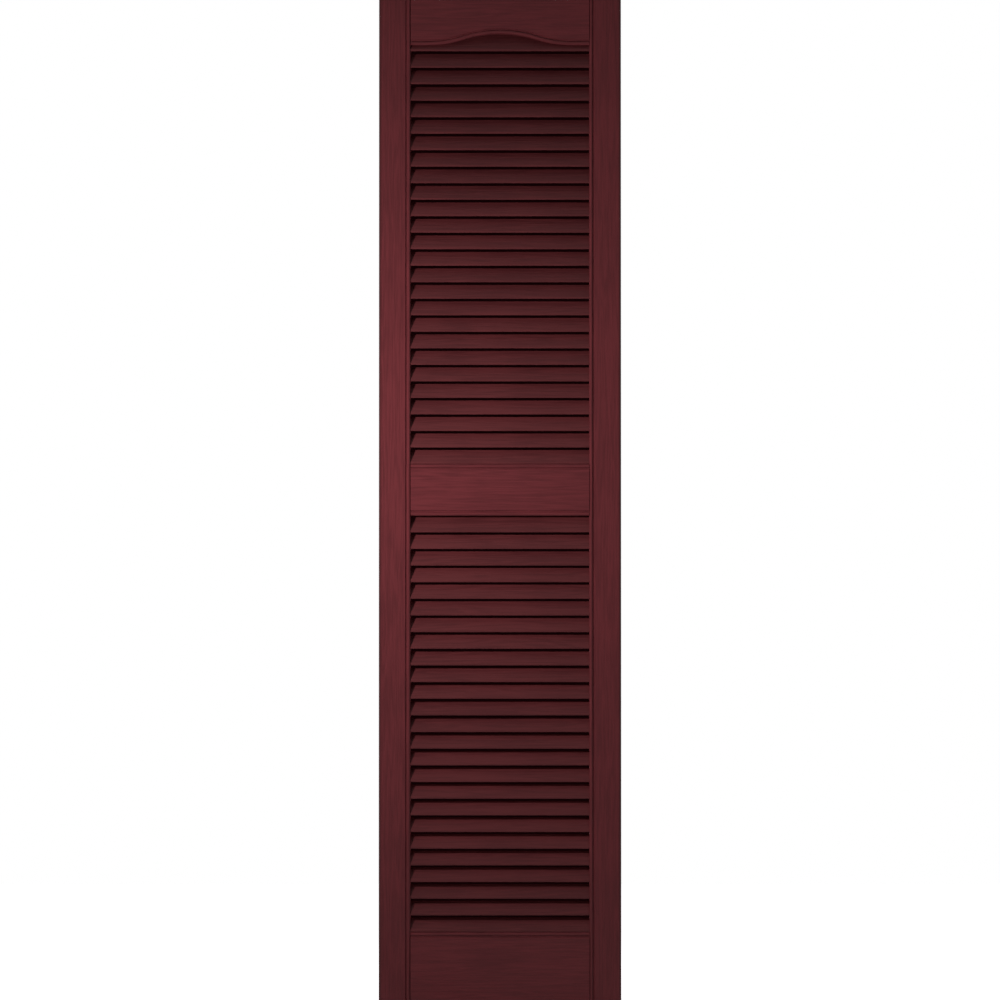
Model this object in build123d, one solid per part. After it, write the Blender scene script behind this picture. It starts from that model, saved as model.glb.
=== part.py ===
"""Cathedral top louvered shutter: an exterior window shutter moulded in wood-grained plastic.

Two stiles and three rails are hollow mouldings, open at the back and ribbed across. A quirked
bead runs along every edge that frames a louver opening, and under the top rail it follows a
cathedral arch. Two banks of fixed louvers fill the openings, carried at both ends by the stiles.

Millimetres. X runs across the shutter, Y from its front to the wall, Z up. The origin is the
middle of the bottom edge of the back face, which lies against the wall at Y = 0.
"""

from build123d import *
import math
import os

# Whole shutter
HEIGHT = 1524.0
WIDTH = 368.3
DEPTH = 28.6
OUTER_ROUND = 2.5

# Frame pieces: hollow mouldings with a thicker band behind their beads
WALL = 2.5
STILE_WIDTH = 48.15
TOP_RAIL_HEIGHT = 70.2
MID_RAIL_HEIGHT = 78.6
BOTTOM_RAIL_HEIGHT = 104.3
BACKED_BAND = 10.5
RIB = 2.0
RIB_RECESS = 4.0
STILE_RIBS = 5
RAIL_RIB_SPACING = 90.0

# Bead along the edges of the openings, with the quirk that sets it off
BEAD_RADIUS = 3.0
QUIRK_WIDTH = 1.9
QUIRK_FLOOR = 1.0
QUIRK_DEPTH = 2.0

# Cathedral arch: on each side two equal arcs that meet, then a flat shoulder
ARCH_RISE = 17.4
ARCH_HALF_SPAN = 110.0

# Louvers
UPPER_LOUVERS = 26
UPPER_PITCH = 25.17
LOWER_LOUVERS = 25
LOWER_PITCH = 25.3
LOUVER_SLOPE = 60.0
LOUVER_WALL = 2.5
LOUVER_SET_BACK = 2.0
LIP_HEIGHT = 2.6
LIP_DEPTH = 4.1
LIP_ROUND = 1.2
TIP_ROUND = 0.6
SLOT_HEIGHT = 3.5

# Cutters run this far past the piece that they cut
OVERRUN = 1.0

# Values worked out from those above
FRONT = -DEPTH
OPENING_HALF = WIDTH / 2 - STILE_WIDTH
MID_RAIL_BOTTOM = BOTTOM_RAIL_HEIGHT + LOWER_LOUVERS * LOWER_PITCH
UPPER_SILL = MID_RAIL_BOTTOM + MID_RAIL_HEIGHT
ARCH_SPRING = HEIGHT - TOP_RAIL_HEIGHT
ARCH_CROWN = ARCH_SPRING + ARCH_RISE
LIP_FRONT = FRONT + LOUVER_SET_BACK
SLOPE = math.tan(math.radians(LOUVER_SLOPE))
LOUVER_THROUGH = LOUVER_WALL / math.sin(math.radians(LOUVER_SLOPE))


def box_between(low, high):
    """A box given by its lowest and highest corners."""
    middle = [(a + b) / 2 for a, b in zip(low, high)]
    sides = [b - a for a, b in zip(low, high)]
    return Pos(*middle) * Box(*sides)


def one_solid(shape):
    """The single solid that a piece is made of."""
    solids = shape.solids()
    if len(solids) != 1:
        raise ValueError(f"expected one solid, found {len(solids)}")
    return solids[0]


def rounded_envelope():
    """The block that the shutter fills, with its four front edges rounded."""
    block = box_between((-WIDTH / 2, FRONT, 0), (WIDTH / 2, 0, HEIGHT))
    front_edges = block.faces().sort_by(Axis.Y)[0].edges()
    return fillet(front_edges, OUTER_ROUND)


def prism(region, front, back):
    """An outline, drawn in X and Z, given its depth from one Y to another."""
    return Pos(0, front, 0) * extrude(region, amount=back - front, dir=(0, 1, 0))


def rectangle(x0, x1, z0, z1):
    """A rectangular outline in X and Z."""
    corners = [(x0, 0, z0), (x1, 0, z0), (x1, 0, z1), (x0, 0, z1)]
    return make_face(Polyline(*corners, close=True))


def arch_edge(y, reach):
    """The top rail's lower edge at a given Y, from -reach to +reach."""
    swing = 2 * math.atan2(ARCH_RISE, ARCH_HALF_SPAN)
    radius = ARCH_HALF_SPAN / 2 / math.sin(swing)
    bow_x = radius * math.sin(swing / 2)
    bow_z = radius * (1 - math.cos(swing / 2))

    def side(sign):
        shoulder = (sign * ARCH_HALF_SPAN, y, ARCH_SPRING)
        hollow = (sign * (ARCH_HALF_SPAN - bow_x), y, ARCH_SPRING + bow_z)
        turn = (sign * ARCH_HALF_SPAN / 2, y, ARCH_SPRING + ARCH_RISE / 2)
        return shoulder, hollow, turn

    left_shoulder, left_hollow, left_turn = side(-1)
    right_shoulder, right_hollow, right_turn = side(1)
    return [
        Line((-reach, y, ARCH_SPRING), left_shoulder),
        ThreePointArc(left_shoulder, left_hollow, left_turn),
        ThreePointArc(left_turn, (0, y, ARCH_CROWN), right_turn),
        ThreePointArc(right_turn, right_hollow, right_shoulder),
        Line(right_shoulder, (reach, y, ARCH_SPRING)),
    ]


def bead_cutter(edges, inward):
    """What is cut away to leave a quirked bead along an edge of the front face.

    edges is the path in the front face, and inward points from the opening into the piece.
    The section is drawn with its first axis inward and its second towards the wall.
    """
    path = Wire(edges)
    inward = Vector(*inward)
    plane = Plane(origin=path @ 0, x_dir=inward, z_dir=inward.cross(Vector(0, 1, 0)))
    bead = 2 * BEAD_RADIUS
    quirk = make_face(
        Polyline(
            (bead, -OVERRUN),
            (bead, QUIRK_DEPTH),
            (bead + QUIRK_FLOOR, QUIRK_DEPTH),
            (bead + QUIRK_WIDTH, 0),
            (bead + QUIRK_WIDTH, -OVERRUN),
            close=True,
        )
    )
    over_bead = make_face(
        Polyline(
            (-OVERRUN, BEAD_RADIUS),
            (-OVERRUN, -OVERRUN),
            (bead, -OVERRUN),
            (bead, QUIRK_DEPTH),
            (BEAD_RADIUS, QUIRK_DEPTH),
            (BEAD_RADIUS, BEAD_RADIUS),
            close=True,
        )
    )
    section = quirk + (over_bead - Pos(BEAD_RADIUS, BEAD_RADIUS) * Circle(BEAD_RADIUS))
    return sweep(plane * section, path=path)


def hollow_moulding(region, beads, ribs, envelope):
    """A frame piece: its outline given depth, beaded, rounded outside and hollowed behind."""
    body = prism(region, FRONT, 0) & envelope
    for edges, inward in beads:
        body -= bead_cutter(edges, inward)
    hollow = prism(offset(region, -WALL), FRONT + QUIRK_DEPTH + WALL, OVERRUN)
    hollow += prism(offset(region, -BACKED_BAND), FRONT + WALL, OVERRUN)
    for rib in ribs:
        hollow -= rib
    return one_solid(body - hollow)


def stile(side, envelope):
    """One stile, at the left (-1) or the right (1), beaded along the opening."""
    inner = side * OPENING_HALF
    outer = side * WIDTH / 2
    region = rectangle(min(inner, outer), max(inner, outer), 0, HEIGHT)
    bead_line = Line((inner, FRONT, -OVERRUN), (inner, FRONT, HEIGHT + OVERRUN))
    ribs = []
    for number in range(1, STILE_RIBS + 1):
        z = number * HEIGHT / (STILE_RIBS + 1)
        low = (min(inner, outer), FRONT, z - RIB / 2)
        ribs.append(box_between(low, (max(inner, outer), -RIB_RECESS, z + RIB / 2)))
    return hollow_moulding(region, [([bead_line], (side, 0, 0))], ribs, envelope)


def rail_ribs(z0, z1):
    """Two upright ribs inside a rail, on either side of its middle."""
    ribs = []
    for x in (-RAIL_RIB_SPACING / 2, RAIL_RIB_SPACING / 2):
        ribs.append(box_between((x - RIB / 2, FRONT, z0), (x + RIB / 2, -RIB_RECESS, z1)))
    return ribs


def rail_bead(z):
    """The straight line of a rail's bead, past both of its ends."""
    reach = OPENING_HALF + OVERRUN
    return [Line((-reach, FRONT, z), (reach, FRONT, z))]


def top_rail_region():
    """The top rail's outline, with the cathedral arch as its lower edge."""
    reach = OPENING_HALF
    corners = [
        (reach, 0, ARCH_SPRING),
        (reach, 0, HEIGHT),
        (-reach, 0, HEIGHT),
        (-reach, 0, ARCH_SPRING),
    ]
    return make_face(arch_edge(0, reach) + [Polyline(*corners)])


def cathedral_top_rail(envelope):
    """The top rail, whose bead follows the arch from stile to stile."""
    beads = [(arch_edge(FRONT, OPENING_HALF + OVERRUN), (0, 0, 1))]
    ribs = rail_ribs(ARCH_SPRING, HEIGHT)
    return hollow_moulding(top_rail_region(), beads, ribs, envelope)


def mid_rail(envelope):
    """The rail between the louver banks, beaded above and below."""
    region = rectangle(-OPENING_HALF, OPENING_HALF, MID_RAIL_BOTTOM, UPPER_SILL)
    beads = [(rail_bead(MID_RAIL_BOTTOM), (0, 0, 1)), (rail_bead(UPPER_SILL), (0, 0, -1))]
    return hollow_moulding(region, beads, rail_ribs(MID_RAIL_BOTTOM, UPPER_SILL), envelope)


def bottom_rail(envelope):
    """The deep rail at the foot, beaded along its top."""
    region = rectangle(-OPENING_HALF, OPENING_HALF, 0, BOTTOM_RAIL_HEIGHT)
    beads = [(rail_bead(BOTTOM_RAIL_HEIGHT), (0, 0, -1))]
    return hollow_moulding(region, beads, rail_ribs(0, BOTTOM_RAIL_HEIGHT), envelope)


def face_y(z):
    """Where a louver's sloping face lies at a height above the underside of its lip."""
    return LIP_FRONT + (z - LIP_HEIGHT) / SLOPE


def louver_section(height):
    """A louver's section in Y and Z: a rounded lip, and a blade that slopes up and back."""
    lip_back = LIP_FRONT + LIP_DEPTH
    under_lip = LIP_HEIGHT + (lip_back - LOUVER_THROUGH - LIP_FRONT) * SLOPE
    lip_bottom = (LIP_FRONT, 0)
    lip_top = (LIP_FRONT, LIP_HEIGHT)
    tip_front = (face_y(height), height)
    tip_back = (face_y(height) + LOUVER_THROUGH, height)
    throat = (lip_back, under_lip)
    heel = (lip_back, 0)
    outline = make_face(
        Polyline(lip_bottom, lip_top, tip_front, tip_back, throat, heel, close=True)
    )

    outline = fillet(outline.vertices().group_by(Axis.X)[0], LIP_ROUND)
    tip = outline.vertices().group_by(Axis.Y)[-1].sort_by(Axis.X)[0]
    return fillet(tip, TIP_ROUND)


def louver(lip, height):
    """One louver, from stile to stile, with the underside of its lip at a given height."""
    section = Plane.YZ * louver_section(height)
    return Pos(0, 0, lip) * extrude(section, amount=OPENING_HALF, both=True)


def upper_louver(number):
    """A louver of the upper bank, where number 1 runs on up and is cut to the arch."""
    lip = UPPER_SILL + (UPPER_LOUVERS - number) * UPPER_PITCH
    if number == 1:
        return louver(lip, ARCH_CROWN + OVERRUN - lip) - prism(top_rail_region(), FRONT, 0)
    return louver(lip, UPPER_PITCH - SLOT_HEIGHT)


def lower_louver(number):
    """A louver of the lower bank, where number 1 runs on up to the middle rail."""
    lip = BOTTOM_RAIL_HEIGHT + (LOWER_LOUVERS - number) * LOWER_PITCH
    return louver(lip, LOWER_PITCH if number == 1 else LOWER_PITCH - SLOT_HEIGHT)


def shutter():
    """Every piece by name."""
    envelope = rounded_envelope()
    pieces = {
        "left_stile": stile(-1, envelope),
        "right_stile": stile(1, envelope),
        "cathedral_top_rail": cathedral_top_rail(envelope),
        "mid_rail": mid_rail(envelope),
        "bottom_rail": bottom_rail(envelope),
    }
    for number in range(1, UPPER_LOUVERS + 1):
        pieces[f"upper_louver_{number:02d}"] = upper_louver(number)
    for number in range(1, LOWER_LOUVERS + 1):
        pieces[f"lower_louver_{number:02d}"] = lower_louver(number)
    return pieces


os.makedirs("parts", exist_ok=True)
for name, piece in shutter().items():
    solid = one_solid(piece)
    solid.label = name
    export_step(solid, f"parts/{name}.step")
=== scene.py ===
"""Looks for the cathedral top louvered shutter: burgundy plastic with an embossed wood grain.

The frame pieces keep their CAD solids. Geometry Nodes lay the two banks of equal louvers. The
first louver of each bank, cut to the arch or run up to the middle rail, keeps its CAD solid.
Metres throughout: X across the shutter, Y from its front to the wall, Z up.
"""

import math

import bpy
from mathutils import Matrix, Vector


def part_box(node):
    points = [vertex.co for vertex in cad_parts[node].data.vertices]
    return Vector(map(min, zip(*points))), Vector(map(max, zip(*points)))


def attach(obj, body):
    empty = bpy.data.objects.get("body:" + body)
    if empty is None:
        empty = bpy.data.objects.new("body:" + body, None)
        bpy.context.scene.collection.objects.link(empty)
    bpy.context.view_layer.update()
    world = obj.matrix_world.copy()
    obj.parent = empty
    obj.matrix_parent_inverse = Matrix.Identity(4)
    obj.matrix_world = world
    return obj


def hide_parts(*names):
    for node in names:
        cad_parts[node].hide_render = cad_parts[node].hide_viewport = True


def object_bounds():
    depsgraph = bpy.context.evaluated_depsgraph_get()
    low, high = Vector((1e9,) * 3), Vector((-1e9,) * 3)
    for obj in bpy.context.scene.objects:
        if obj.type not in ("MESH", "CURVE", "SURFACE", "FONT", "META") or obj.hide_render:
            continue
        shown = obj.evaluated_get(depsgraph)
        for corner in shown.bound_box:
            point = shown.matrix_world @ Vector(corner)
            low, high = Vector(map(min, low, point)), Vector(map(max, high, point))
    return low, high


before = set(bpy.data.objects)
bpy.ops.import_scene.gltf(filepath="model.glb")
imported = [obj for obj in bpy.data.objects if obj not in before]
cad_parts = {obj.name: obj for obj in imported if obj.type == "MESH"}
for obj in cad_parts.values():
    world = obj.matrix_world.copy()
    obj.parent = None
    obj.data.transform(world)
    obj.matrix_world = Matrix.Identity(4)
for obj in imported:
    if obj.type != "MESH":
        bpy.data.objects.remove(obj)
cad_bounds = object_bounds()

# Sizes read from the frame
CAD_LOW, CAD_HIGH = (Vector(corner) for corner in cad_bounds)
HALF_WIDTH = (CAD_HIGH.x - CAD_LOW.x) / 2
FRONT = CAD_LOW.y

# Louvers: their blades slope up and back behind a rounded lip
BANKS = {"upper": 26, "lower": 25}
LOUVER_SLOPE = math.radians(60)
LOUVER_WALL = 0.0025
LIP_HEIGHT = 0.0026
LIP_DEPTH = 0.0041
LIP_ROUND = 0.0012
TIP_ROUND = 0.0006
ROUND_STEPS = 6
MERGE_DISTANCE = 0.00001
SMOOTH_BELOW = math.radians(30)
SHADE_ATTRIBUTE = "louver_shade"

# Embossed wood grain: fine streaks, and the wavy rings of the wood's figure
STREAK_LENGTH = 0.045
STREAK_WIDTH = 0.0022
STREAK_DETAIL = 3.0
STREAK_ROUGHNESS = 0.6
STREAK_RANGE = (0.38, 0.62)
FIGURE_LENGTH = 0.22
FIGURE_WIDTH = 0.011
FIGURE_DETAIL = 1.0
FIGURE_BEND = 0.4
FIGURE_RINGS = 34.0
FIGURE_IN_HEIGHT = 0.35
FIGURE_IN_TONE = 0.2
GRAIN_STRENGTH = 0.8
GRAIN_DEPTH = 0.00016
ALONG_X = (0, 0, 0)
ALONG_Z = (0, math.pi / 2, 0)

# Slow patches in the tone, and a fine speckle in the gloss
PATCH_SIZE = 0.09
PATCH_DETAIL = 3.0
PATCHES_IN_TONE = 0.35
SPECKLE_SIZE = 0.0009
SPECKLE_DETAIL = 1.0
SPECKLE_RANGE = (0.3, 0.7)
SMOOTHER, ROUGHER = -0.05, 0.07

# Plastic, in linear colour, from its darker tone to its lighter one. The louvers' tones are the
# same plastic painted darker, as painted shade on the recessed louvers
FRAME_TONES = ((0.121, 0.0218, 0.0258, 1), (0.175, 0.0312, 0.0368, 1))
SHADED_LOUVER_TONES = ((0.096, 0.0202, 0.0226, 1), (0.136, 0.0286, 0.0315, 1))
TONE_RANGE = (0.38, 0.62)
LOUVER_SHADE = 0.25
FRAME_ROUGHNESS = 0.46
LOUVER_ROUGHNESS = 0.50
PLASTIC_SPECULAR = 0.18

# Painted shade: the rounded front corners of the two outer sides are darkened in colour
RIM_PAINTED_SHADE = 0.20
RIM_WIDTH = 0.0048
RIM_DEPTH = 0.0045

# Each finish: the way its grain runs, the shift of its pattern, its tones, its roughness, and
# how far the louvers laid in it differ in tone from one another
FINISHES = {
    "left_stile": (ALONG_Z, (0, 0, 0), FRAME_TONES, FRAME_ROUGHNESS, 0.0),
    "right_stile": (ALONG_Z, (3, 0, 1), FRAME_TONES, FRAME_ROUGHNESS, 0.0),
    "rail": (ALONG_X, (0, 5, 0), FRAME_TONES, FRAME_ROUGHNESS, 0.0),
    "louver": (ALONG_X, (7, 0, 0), SHADED_LOUVER_TONES, LOUVER_ROUGHNESS, LOUVER_SHADE),
}

# Camera: a long lens a little below the shutter's middle, tilted up slightly
CAMERA_DISTANCE = 9.0
CAMERA_TILT = math.radians(1.2)
CAMERA_REACH = 100.0
SENSOR_MM = 36.0
SEEN_WIDTH = 1.5203
VIEW_X = 0.0
VIEW_Z = 0.7607

# Lights: a small key lamp near the left front, and two broad ones behind for the back
KEY_PLACE = Vector((-0.74, -0.86, 0.91))
KEY_AIM_Z = 0.85
KEY_SIZE = 0.10
KEY_POWER = 4.7
KEY_SPREAD = math.radians(126)
BACK_PLACES = {"left_back": Vector((-1.7, 1.5, 0.45)), "right_back": Vector((1.7, 1.5, 0.45))}
BACK_AIM_Z = 0.76
BACK_SIZE = 1.0
BACK_POWER = 14.0
BACK_SPREAD = math.radians(120)
FILL_LEVEL = 0.02

# Stage
FLOOR_REACH = 4.0
FLOOR_Z = -0.0004
FLOOR_COLOUR = (0.55, 0.55, 0.55, 1)
FLOOR_ROUGHNESS = 0.9
FLOOR_GLOW = 0.985
# Painted shade: a dark card behind the louver slots, seen in place of the shade in the hollow
# behind them
CARD_Y = 0.0015
CARD_REACH = 0.150
SLOT_SHADE_COLOUR = (0.0045, 0.0006, 0.0009, 1)
WHITE = (1, 1, 1, 1)


def feed(tree, node, inputs):
    """Links sockets to a node's inputs, or sets their values."""
    for key, value in inputs.items():
        if isinstance(value, bpy.types.NodeSocket):
            tree.links.new(value, node.inputs[key])
        else:
            node.inputs[key].default_value = value


def add(tree, kind, inputs=None, **settings):
    """A node with its settings, and with its inputs linked or set."""
    node = tree.nodes.new(kind)
    for key, value in settings.items():
        setattr(node, key, value)
    feed(tree, node, inputs or {})
    return node


def maths(tree, operation, *values, **settings):
    """The outcome of one step of arithmetic."""
    node = add(tree, "ShaderNodeMath", dict(enumerate(values)), operation=operation, **settings)
    return node.outputs[0]


def blended(tree, share, first, second):
    """Two values blended, with this share of the second."""
    node = add(tree, "ShaderNodeMix", {"Factor": share, "A": first, "B": second},
               data_type="FLOAT")
    return node.outputs["Result"]


def mapped(tree, value, low, high, new_low=0.0, new_high=1.0):
    """A value carried from one range to another, and held inside it."""
    node = add(tree, "ShaderNodeMapRange", {"Value": value, "From Min": low, "From Max": high,
                                            "To Min": new_low, "To Max": new_high})
    return node.outputs[0]


def new_group(name, inputs, outputs):
    """A shader node group that takes a vector and named numbers, its inputs and its end node."""
    group = bpy.data.node_groups.new(name, "ShaderNodeTree")
    group.interface.new_socket("Vector", in_out="INPUT", socket_type="NodeSocketVector")
    for label, value in inputs.items():
        socket = group.interface.new_socket(label, in_out="INPUT", socket_type="NodeSocketFloat")
        socket.default_value = value
    for label in outputs:
        group.interface.new_socket(label, in_out="OUTPUT", socket_type="NodeSocketFloat")
    return group, group.nodes.new("NodeGroupInput").outputs, group.nodes.new("NodeGroupOutput")


def wood_grain_group():
    """Embossed wood grain that runs along the first axis of the vector it is given."""
    group, given, end = new_group(
        "embossed_wood_grain",
        {"Streak Length": STREAK_LENGTH, "Streak Width": STREAK_WIDTH,
         "Figure Width": FIGURE_WIDTH, "Figure Length": FIGURE_LENGTH},
        ["Height", "Tone"],
    )

    def stretched_noise(length, width, **values):
        scale = add(group, "ShaderNodeCombineXYZ", {0: length, 1: width, 2: width})
        place = add(group, "ShaderNodeVectorMath", {0: given["Vector"], 1: scale.outputs[0]},
                    operation="DIVIDE")
        noise = add(group, "ShaderNodeTexNoise", {"Vector": place.outputs[0], "Scale": 1.0,
                                                  **values})
        return noise.outputs["Fac"]

    streaks = stretched_noise(given["Streak Length"], given["Streak Width"],
                              Detail=STREAK_DETAIL, Roughness=STREAK_ROUGHNESS)
    figure = stretched_noise(given["Figure Length"], given["Figure Width"],
                             Detail=FIGURE_DETAIL, Distortion=FIGURE_BEND)
    ring_wave = maths(group, "SINE", maths(group, "MULTIPLY", figure, FIGURE_RINGS))
    rings = mapped(group, ring_wave, -1.0, 1.0)
    pores = mapped(group, streaks, *STREAK_RANGE)
    feed(group, end, {"Height": blended(group, FIGURE_IN_HEIGHT, pores, rings),
                      "Tone": blended(group, FIGURE_IN_TONE, streaks, rings)})
    return group


def mottle_group():
    """Slow patches over a moulding, and a fine speckle."""
    group, given, end = new_group(
        "surface_mottle",
        {"Patch Size": PATCH_SIZE, "Speckle Size": SPECKLE_SIZE},
        ["Patches", "Speckle"],
    )
    for size, output, detail in (("Patch Size", "Patches", PATCH_DETAIL),
                                 ("Speckle Size", "Speckle", SPECKLE_DETAIL)):
        scale = maths(group, "DIVIDE", 1.0, given[size])
        noise = add(group, "ShaderNodeTexNoise", {"Vector": given["Vector"], "Scale": scale,
                                                  "Detail": detail})
        feed(group, end, {output: noise.outputs["Fac"]})
    return group


def painted_rim_shade_group():
    """Painted shade: 1 on the front faces, falling to the painted rim shade at the front corners
    of both sides.
    """
    group, given, end = new_group(
        "painted_front_rim_shade",
        {"Half Width": HALF_WIDTH, "Front": FRONT, "Width": RIM_WIDTH, "Depth": RIM_DEPTH,
         "Shade": RIM_PAINTED_SHADE},
        ["Level"],
    )
    axes = add(group, "ShaderNodeSeparateXYZ", {0: given["Vector"]}).outputs
    inside = maths(group, "SUBTRACT", given["Half Width"], maths(group, "ABSOLUTE", axes["X"]))
    near_side = mapped(group, inside, 0.0, given["Width"], 1.0, 0.0)
    behind = maths(group, "SUBTRACT", axes["Y"], given["Front"])
    near_front = mapped(group, behind, 0.0, given["Depth"], 1.0, 0.0)
    painted_rim = maths(group, "MULTIPLY", near_side, near_front)
    feed(group, end, {"Level": blended(group, painted_rim, 1.0, given["Shade"])})
    return group


def new_material(name):
    """A material with nodes, and its node tree."""
    material = bpy.data.materials.new(name)
    material.use_nodes = True
    return material, material.node_tree


def grained_plastic(name, effects, turn, shift, tones, roughness, shade):
    """Satin burgundy plastic, its grain turned and shifted from Object coordinates."""
    material, tree = new_material(name)
    place = add(tree, "ShaderNodeTexCoord").outputs["Object"]
    turned = add(tree, "ShaderNodeMapping", {"Vector": place, "Location": shift,
                                             "Rotation": turn}).outputs[0]

    def effect(name, vector):
        return add(tree, "ShaderNodeGroup", {"Vector": vector}, node_tree=effects[name]).outputs

    grain = effect("grain", turned)
    mottle = effect("mottle", turned)
    # painted shade that darkens the outer front corners
    painted_rim = effect("painted_rim", place)
    tone = blended(tree, PATCHES_IN_TONE, grain["Tone"], mottle["Patches"])
    own_shade = add(tree, "ShaderNodeAttribute", attribute_name=SHADE_ATTRIBUTE).outputs["Fac"]
    shaded = maths(tree, "MULTIPLY_ADD", own_shade, shade, mapped(tree, tone, *TONE_RANGE))
    colour = add(tree, "ShaderNodeMix", {"Factor": shaded, 6: tones[0], 7: tones[1]},
                 data_type="RGBA")
    # the base colour darkened at the outer front corners, as painted shade
    painted_rim_colour = add(tree, "ShaderNodeVectorMath", {0: colour.outputs[2], "Scale": painted_rim["Level"]},
                 operation="SCALE")
    gloss = mapped(tree, mottle["Speckle"], *SPECKLE_RANGE, roughness + SMOOTHER,
                   roughness + ROUGHER)
    bump = add(tree, "ShaderNodeBump", {"Height": grain["Height"], "Strength": GRAIN_STRENGTH,
                                        "Distance": GRAIN_DEPTH})
    feed(tree, tree.nodes["Principled BSDF"],
         {"Base Color": painted_rim_colour.outputs[0], "Roughness": gloss, "Normal": bump.outputs[0],
          "Specular IOR Level": PLASTIC_SPECULAR})
    return material


def arc(centre, radius, start_angle, end_angle, steps):
    """Points of an arc in Y and Z, from one angle to another."""
    points = []
    for step in range(steps + 1):
        angle = start_angle + (end_angle - start_angle) * step / steps
        points.append((centre[0] + radius * math.cos(angle),
                       centre[1] + radius * math.sin(angle)))
    return points


def rounded_corner(before, corner, after, radius, steps):
    """The arc that rounds a corner between its two neighbours."""
    to_before = (Vector(before) - Vector(corner)).normalized()
    to_after = (Vector(after) - Vector(corner)).normalized()
    half = to_before.angle(to_after) / 2
    centre = Vector(corner) + (to_before + to_after).normalized() * (radius / math.sin(half))
    first = Vector(corner) + to_before * (radius / math.tan(half)) - centre
    last = Vector(corner) + to_after * (radius / math.tan(half)) - centre
    start_angle = math.atan2(first.y, first.x)
    sweep = math.atan2(last.y, last.x) - start_angle
    sweep = (sweep + math.pi) % (2 * math.pi) - math.pi
    return arc(centre, radius, start_angle, start_angle + sweep, steps)


def louver_section(lip_front, height):
    """A louver's outline in Y and Z, anticlockwise, with its lip's underside at Z = 0."""
    slope = math.tan(LOUVER_SLOPE)
    through = LOUVER_WALL / math.sin(LOUVER_SLOPE)
    tip = lip_front + (height - LIP_HEIGHT) / slope
    heel = lip_front + LIP_DEPTH
    throat_z = LIP_HEIGHT + (LIP_DEPTH - through) * slope
    corners = [
        ((lip_front, 0), LIP_ROUND),
        ((heel, 0), 0),
        ((heel, throat_z), 0),
        ((tip + through, height), 0),
        ((tip, height), TIP_ROUND),
        ((lip_front, LIP_HEIGHT), LIP_ROUND),
    ]
    outline = []
    for index, (corner, radius) in enumerate(corners):
        before = corners[index - 1][0]
        after = corners[(index + 1) % len(corners)][0]
        if radius:
            outline += rounded_corner(before, corner, after, radius, ROUND_STEPS)
        else:
            outline.append(corner)
    return outline


def new_object(name, data):
    """An object in the scene that holds a mesh, a light or a camera."""
    made = bpy.data.objects.new(name, data)
    bpy.context.scene.collection.objects.link(made)
    return made


def flat_face(name, corners):
    """One flat face as a mesh, with its corners in order."""
    mesh = bpy.data.meshes.new(name)
    mesh.from_pydata(corners, [], [range(len(corners))])
    return mesh


def louver_bank_tree():
    """Geometry Nodes that draw a section out to a louver's length and lay one at each pitch."""
    tree = bpy.data.node_groups.new("louver_bank", "GeometryNodeTree")
    sockets = {}
    for kind, label in (
        ("NodeSocketGeometry", "Section"),
        ("NodeSocketFloat", "Length"),
        ("NodeSocketInt", "Count"),
        ("NodeSocketFloat", "Pitch"),
        ("NodeSocketFloat", "Lowest Lip"),
        ("NodeSocketInt", "Shade Seed"),
        ("NodeSocketMaterial", "Plastic"),
    ):
        socket = tree.interface.new_socket(label, in_out="INPUT", socket_type=kind)
        sockets[label] = socket.identifier
    tree.interface.new_socket("Louvers", in_out="OUTPUT", socket_type="NodeSocketGeometry")
    given = tree.nodes.new("NodeGroupInput").outputs
    end = tree.nodes.new("NodeGroupOutput")

    left = add(tree, "ShaderNodeCombineXYZ", {"X": maths(tree, "MULTIPLY", given["Length"], -0.5)})
    across = add(tree, "ShaderNodeCombineXYZ", {"X": given["Length"]})
    left_end = add(tree, "GeometryNodeTransform",
                   {"Geometry": given["Section"], "Translation": left.outputs[0]})
    drawn = add(tree, "GeometryNodeExtrudeMesh",
                {"Mesh": left_end.outputs[0], "Offset": across.outputs[0], "Offset Scale": 1.0,
                 "Individual": False}, mode="FACES")
    cap = add(tree, "GeometryNodeFlipFaces", {"Mesh": left_end.outputs[0]})
    joined = add(tree, "GeometryNodeJoinGeometry")
    tree.links.new(drawn.outputs[0], joined.inputs[0])
    tree.links.new(cap.outputs[0], joined.inputs[0])
    closed = add(tree, "GeometryNodeMergeByDistance",
                 {"Geometry": joined.outputs[0], "Distance": MERGE_DISTANCE})

    step = add(tree, "ShaderNodeCombineXYZ", {"Z": given["Pitch"]})
    first = add(tree, "ShaderNodeCombineXYZ", {"Z": given["Lowest Lip"]})
    rows = add(tree, "GeometryNodeMeshLine",
               {"Count": given["Count"], "Start Location": first.outputs[0],
                "Offset": step.outputs[0]})
    laid = add(tree, "GeometryNodeInstanceOnPoints",
               {"Points": rows.outputs[0], "Instance": closed.outputs[0]})
    shade = add(tree, "FunctionNodeRandomValue", {2: -1.0, 3: 1.0, "Seed": given["Shade Seed"]})
    marked = add(tree, "GeometryNodeStoreNamedAttribute",
                 {"Geometry": laid.outputs[0], "Name": SHADE_ATTRIBUTE,
                  "Value": shade.outputs[1]}, data_type="FLOAT", domain="INSTANCE")
    real = add(tree, "GeometryNodeRealizeInstances", {"Geometry": marked.outputs[0]})
    finished = add(tree, "GeometryNodeSetMaterial",
                   {"Geometry": real.outputs[0], "Material": given["Plastic"]})
    feed(tree, end, {0: finished.outputs[0]})
    return tree, sockets


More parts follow.
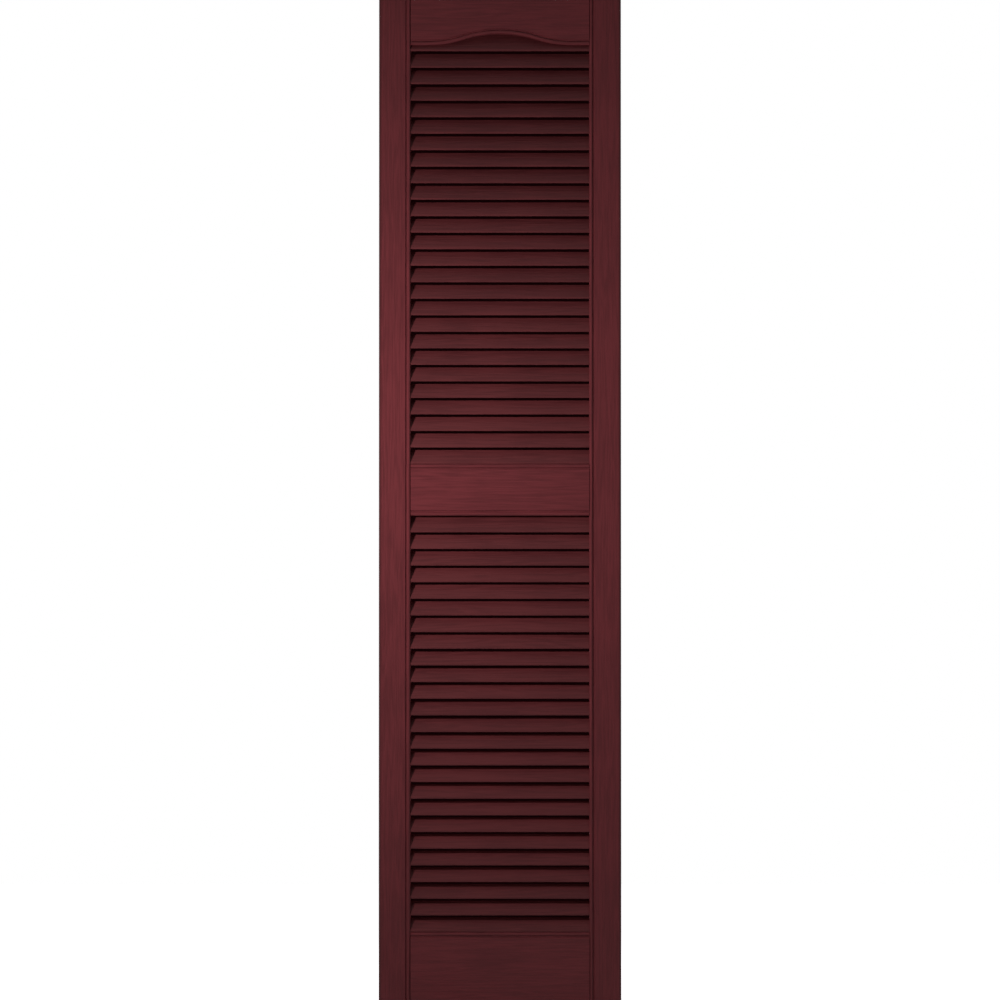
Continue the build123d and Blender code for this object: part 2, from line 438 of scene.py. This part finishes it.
def louver_bank(name, nodes, tree, sockets, material, seed):
    """One bank of equal louvers that stands for the CAD louvers whose names it is given."""
    low, high = (Vector(corner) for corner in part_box(nodes[-1]))
    next_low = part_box(nodes[-2])[0]
    outline = louver_section(low.y, high.z - low.z)
    section = flat_face(name + "_section", [(0, y, z) for y, z in outline])
    maker = new_object(name + "_maker", section)
    modifier = maker.modifiers.new("louver_bank", "NODES")
    modifier.node_group = tree
    modifier[sockets["Length"]] = high.x - low.x
    modifier[sockets["Count"]] = len(nodes)
    modifier[sockets["Pitch"]] = next_low[2] - low.z
    modifier[sockets["Lowest Lip"]] = low.z
    modifier[sockets["Shade Seed"]] = seed
    modifier[sockets["Plastic"]] = material
    evaluated = maker.evaluated_get(bpy.context.evaluated_depsgraph_get())
    mesh = bpy.data.meshes.new_from_object(evaluated)
    bpy.data.objects.remove(maker)
    mesh.name = name
    mesh.shade_smooth()
    mesh.set_sharp_from_angle(angle=SMOOTH_BELOW)
    bank = new_object(name, mesh)
    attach(bank, "root")
    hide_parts(*nodes)


def seen_directly(tree):
    """1 for rays from the camera, or in reflections and glass, and 0 for rays that light."""
    path = add(tree, "ShaderNodeLightPath").outputs
    seen = maths(tree, "MAXIMUM", path["Is Camera Ray"], path["Is Glossy Ray"])
    return maths(tree, "MAXIMUM", seen, path["Is Transmission Ray"])


def white_world():
    """A world that lights softly and is seen as plain white."""
    world = bpy.data.worlds.new("studio")
    world.use_nodes = True
    bpy.context.scene.world = world
    tree = world.node_tree
    strength = mapped(tree, seen_directly(tree), 0.0, 1.0, FILL_LEVEL, 1.0)
    feed(tree, tree.nodes["Background"], {"Color": WHITE, "Strength": strength})


def pale_floor():
    """The plain pale floor, nearly white where it is lit, so that shadows still show on it."""
    reach = FLOOR_REACH
    floor = new_object("floor", flat_face("floor", [
        (-reach, -reach, FLOOR_Z), (reach, -reach, FLOOR_Z),
        (reach, reach, FLOOR_Z), (-reach, reach, FLOOR_Z)]))
    material, tree = new_material("pale_floor")
    shader = tree.nodes["Principled BSDF"]
    feed(tree, shader, {"Base Color": FLOOR_COLOUR, "Roughness": FLOOR_ROUGHNESS})
    level = maths(tree, "MULTIPLY", seen_directly(tree), FLOOR_GLOW)
    glow = add(tree, "ShaderNodeEmission", {"Color": WHITE, "Strength": level})
    both = add(tree, "ShaderNodeAddShader", {0: shader.outputs[0], 1: glow.outputs[0]})
    feed(tree, tree.nodes["Material Output"], {"Surface": both.outputs[0]})
    floor.data.materials.append(material)


def painted_slot_shade_cards():
    """Painted shade: a dark card close behind each louver bank, seen through its slots from the
    front only.

    It glows faintly in its own dark colour in place of the shade in the hollow. Light passes
    through the card, so that it shades nothing.
    """
    material, tree = new_material("painted_slot_shade_card")
    tree.nodes.remove(tree.nodes["Principled BSDF"])
    # the painted shade: a faint glow in the card's dark colour
    dark = add(tree, "ShaderNodeEmission", {"Color": SLOT_SHADE_COLOUR, "Strength": 1.0})
    clear = add(tree, "ShaderNodeBsdfTransparent")
    from_behind = add(tree, "ShaderNodeNewGeometry").outputs["Backfacing"]
    shown = maths(tree, "SUBTRACT", seen_directly(tree), from_behind, use_clamp=True)
    both = add(tree, "ShaderNodeMixShader", {0: shown, 1: clear.outputs[0], 2: dark.outputs[0]})
    feed(tree, tree.nodes["Material Output"], {"Surface": both.outputs[0]})
    for bank, count in BANKS.items():
        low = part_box(f"{bank}_louver_{count:02d}")[0][2]
        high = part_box(f"{bank}_louver_01")[1][2]
        name = f"{bank}_painted_slot_shade_card"
        card = new_object(name, flat_face(name, [
            (-CARD_REACH, CARD_Y, low), (CARD_REACH, CARD_Y, low),
            (CARD_REACH, CARD_Y, high), (-CARD_REACH, CARD_Y, high)]))
        card.data.materials.append(material)


def soft_light(name, place, aim_z, size, power, spread):
    """A round lamp aimed at a height on the shutter's front, and not seen in its satin faces."""
    light = bpy.data.lights.new(name, "AREA")
    light.shape = "DISK"
    light.size = size
    light.energy = power
    light.spread = spread
    lamp = new_object(name, light)
    lamp.location = place
    aim = Vector((0, FRONT, aim_z)) - place
    lamp.rotation_euler = aim.to_track_quat("-Z", "Y").to_euler()
    lamp.visible_camera = False
    lamp.visible_glossy = False


def camera():
    """The photo's view: from in front through a long lens, tilted up a little."""
    data = bpy.data.cameras.new("camera")
    data.sensor_width = SENSOR_MM
    data.lens = SENSOR_MM * CAMERA_DISTANCE / SEEN_WIDTH
    data.clip_end = CAMERA_REACH
    eye = new_object("camera", data)
    eye.location = (VIEW_X, FRONT - CAMERA_DISTANCE * math.cos(CAMERA_TILT),
                    VIEW_Z - CAMERA_DISTANCE * math.sin(CAMERA_TILT))
    eye.rotation_euler = (math.pi / 2 + CAMERA_TILT, 0, 0)
    bpy.context.scene.camera = eye


effects = {"grain": wood_grain_group(), "mottle": mottle_group(), "painted_rim": painted_rim_shade_group()}
plastics = {kind: grained_plastic(f"{kind}_plastic", effects, *values)
            for kind, values in FINISHES.items()}
for node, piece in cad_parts.items():
    plastic = next(plastics[kind] for kind in plastics if kind in node)
    for slot in piece.material_slots:
        slot.material = plastic

tree, sockets = louver_bank_tree()
for seed, (bank, count) in enumerate(BANKS.items()):
    nodes = [f"{bank}_louver_{number:02d}" for number in range(2, count + 1)]
    louver_bank(f"{bank}_louver_bank", nodes, tree, sockets, plastics["louver"], seed)

white_world()
pale_floor()
painted_slot_shade_cards()
soft_light("key", KEY_PLACE, KEY_AIM_Z, KEY_SIZE, KEY_POWER, KEY_SPREAD)
for name, place in BACK_PLACES.items():
    soft_light(name, place, BACK_AIM_Z, BACK_SIZE, BACK_POWER, BACK_SPREAD)
camera()

scene = bpy.context.scene
scene.view_settings.view_transform = "Standard"
